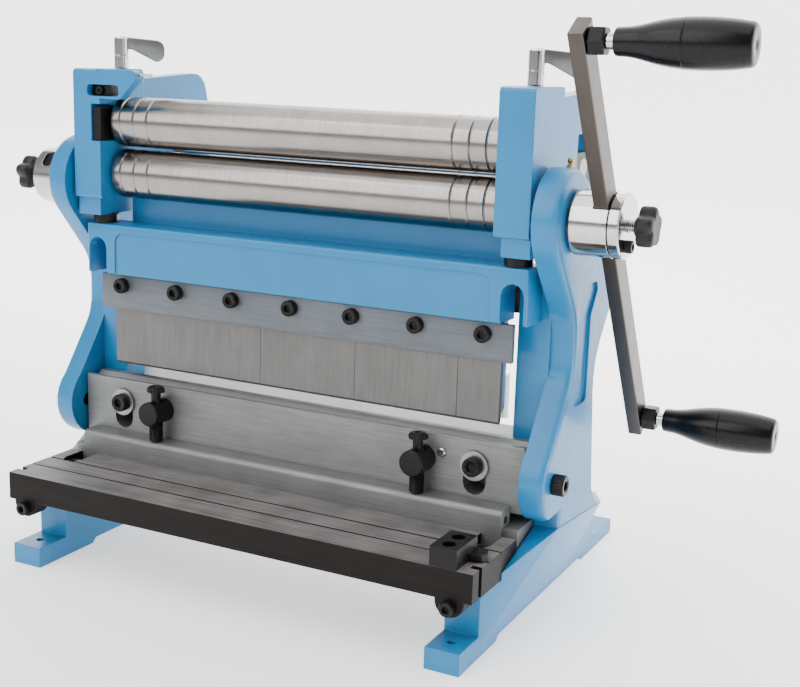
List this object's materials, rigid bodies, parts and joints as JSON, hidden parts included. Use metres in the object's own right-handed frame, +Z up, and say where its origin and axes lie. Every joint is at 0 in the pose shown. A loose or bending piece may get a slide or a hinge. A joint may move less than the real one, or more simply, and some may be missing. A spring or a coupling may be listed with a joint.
{
  "type": "combination sheet metal machine",
  "caption": "Bench machine with slip rolls, press brake and shear between two cast side frames, turned by a two-handled crank",
  "frame": {"origin": "centre of the footprint of the whole machine, on the bench", "axes": "X along the rolls with the crank at +X, Y from the operator's side to the back, Z up"},
  "size_m": [0.5584, 0.2905, 0.3877],
  "materials": {
    "blue_paint": "sky blue enamel over cast iron",
    "machined_iron": "milled iron with fine tool marks",
    "dark_paint": "dark brown edges round a milled top",
    "polished_steel": "ground steel",
    "satin_steel": "drawn steel bar",
    "chrome": "bright plate",
    "brass": "turned brass",
    "black_oxide": "black oxide",
    "matte_black_plastic": "moulded, matt",
    "gloss_black_plastic": "moulded and polished"
  },
  "bodies": {
    "base": {"side_frame_left": "blue_paint", "side_frame_right": "blue_paint", "bed": "machined_iron", "lower_blade": "polished_steel", "table_bolt_left": "black_oxide", "table_bolt_right": "black_oxide", "die_bolt_left": "black_oxide", "die_bolt_right": "black_oxide", "die_washer_left": "chrome", "die_washer_right": "chrome", "frame_bolt_left": "black_oxide", "frame_bolt_right": "black_oxide", "bush_left": "brass", "bush_right": "brass", "oil_nipple_left": "brass", "oil_nipple_right": "brass"},
    "table": {"table": "dark_paint", "side_stop": "black_oxide", "push_screw_left": "black_oxide", "push_screw_right": "black_oxide"},
    "die": {"die_plate": "machined_iron", "jack_boss_left": "black_oxide", "jack_boss_right": "black_oxide", "die_dowel": "chrome"},
    "jack_left": {"jack_screw_left": "black_oxide"},
    "jack_right": {"jack_screw_right": "black_oxide"},
    "ram": {"ram": "blue_paint", "clamp_bar": "machined_iron", "punch_1": "polished_steel", "punch_2": "polished_steel", "punch_3": "polished_steel", "punch_4": "polished_steel", "upper_blade": "polished_steel", "head_left": "blue_paint", "head_right": "blue_paint", "head_stud_left": "black_oxide", "head_stud_right": "black_oxide"},
    "lever_left": {"clamp_lever_left": "chrome"},
    "lever_right": {"clamp_lever_right": "chrome"},
    "lower_roll": {"lower_roll": "polished_steel", "gear_lower": "satin_steel"},
    "nip_blocks": {"bearing_block_left": "black_oxide", "bearing_block_right": "black_oxide"},
    "upper_roll": {"upper_roll": "polished_steel", "gear_upper": "satin_steel"},
    "rear_carriage": {"rear_block_left": "black_oxide", "rear_block_right": "black_oxide"},
    "rear_roll": {"rear_roll": "polished_steel"},
    "crank": {"crank_hub": "chrome", "end_ring": "chrome", "cap_screw": "black_oxide", "crank_bar": "satin_steel", "handle_pin_top": "black_oxide", "handle_pin_bottom": "black_oxide", "shaft_collar": "chrome"},
    "grip_top": {"grip_top": "gloss_black_plastic"},
    "grip_bottom": {"grip_bottom": "gloss_black_plastic"},
    "knob_left": {"star_knob_left": "matte_black_plastic"},
    "knob_right": {"star_knob_right": "matte_black_plastic"}
  },
  "joints": [
    {"name": "table_slide", "type": "slide", "parent": "base", "child": "table", "axis": [0, -1, 0], "range_m": [0, 0.012]},
    {"name": "jack_left_turn", "type": "hinge", "parent": "base", "child": "jack_left", "pos_m": [-0.1384, -0.0686, 0.0823], "axis": [0, 0, 1], "range_deg": [0, 616]},
    {"name": "jack_right_turn", "type": "hinge", "parent": "base", "child": "jack_right", "pos_m": [0.0736, -0.0686, 0.0823], "axis": [0, 0, 1], "range_deg": [0, 616]},
    {"name": "die_lift", "type": "slide", "parent": "base", "child": "die", "axis": [0, 0, 1], "range_m": [0, 0.003]},
    {"name": "ram_stroke", "type": "slide", "parent": "base", "child": "ram", "axis": [0, 0, 1], "range_m": [-0.0124, 0]},
    {"name": "lever_left_turn", "type": "hinge", "parent": "ram", "child": "lever_left", "pos_m": [-0.1934, -0.0336, 0.347], "axis": [0, 0, 1], "range_deg": [0, 120]},
    {"name": "lever_right_turn", "type": "hinge", "parent": "ram", "child": "lever_right", "pos_m": [0.1286, -0.0336, 0.347], "axis": [0, 0, 1], "range_deg": [0, 120]},
    {"name": "lower_roll_turn", "type": "hinge", "parent": "ram", "child": "lower_roll", "pos_m": [-0.0324, -0.044, 0.2726], "axis": [1, 0, 0], "continuous": true},
    {"name": "nip_lift", "type": "slide", "parent": "ram", "child": "nip_blocks", "axis": [0, 0, 1], "range_m": [0, 0.002]},
    {"name": "upper_roll_turn", "type": "hinge", "parent": "nip_blocks", "child": "upper_roll", "pos_m": [-0.0324, -0.044, 0.3097], "axis": [1, 0, 0], "continuous": true},
    {"name": "rear_roll_lift", "type": "slide", "parent": "ram", "child": "rear_carriage", "axis": [0, 0, 1], "range_m": [0, 0.012]},
    {"name": "rear_roll_turn", "type": "hinge", "parent": "rear_carriage", "child": "rear_roll", "pos_m": [-0.0324, 0.038, 0.292], "axis": [1, 0, 0], "continuous": true},
    {"name": "crank_turn", "type": "hinge", "parent": "base", "child": "crank", "pos_m": [-0.0324, -0.044, 0.2664], "axis": [1, 0, 0], "continuous": true},
    {"name": "grip_top_spin", "type": "hinge", "parent": "crank", "child": "grip_top", "pos_m": [0.1997, -0.11288, 0.37369], "axis": [1, 0, 0], "continuous": true},
    {"name": "grip_bottom_spin", "type": "hinge", "parent": "crank", "child": "grip_bottom", "pos_m": [0.1997, 0.04703, 0.1246], "axis": [1, 0, 0], "continuous": true},
    {"name": "knob_left_turn", "type": "hinge", "parent": "crank", "child": "knob_left", "pos_m": [-0.2532, -0.044, 0.2664], "axis": [1, 0, 0], "range_deg": [0, 360]},
    {"name": "knob_right_turn", "type": "hinge", "parent": "crank", "child": "knob_right", "pos_m": [0.1973, -0.044, 0.2664], "axis": [1, 0, 0], "range_deg": [0, 360]}
  ],
  "couplings": [
    {"joint": "lower_roll_turn", "follows": "crank_turn", "ratio": 1},
    {"joint": "upper_roll_turn", "follows": "crank_turn", "ratio": -1},
    {"joint": "jack_left_turn", "follows": "die_lift", "rad_per_m": 3583.7},
    {"joint": "jack_right_turn", "follows": "die_lift", "rad_per_m": 3583.7}
  ]
}
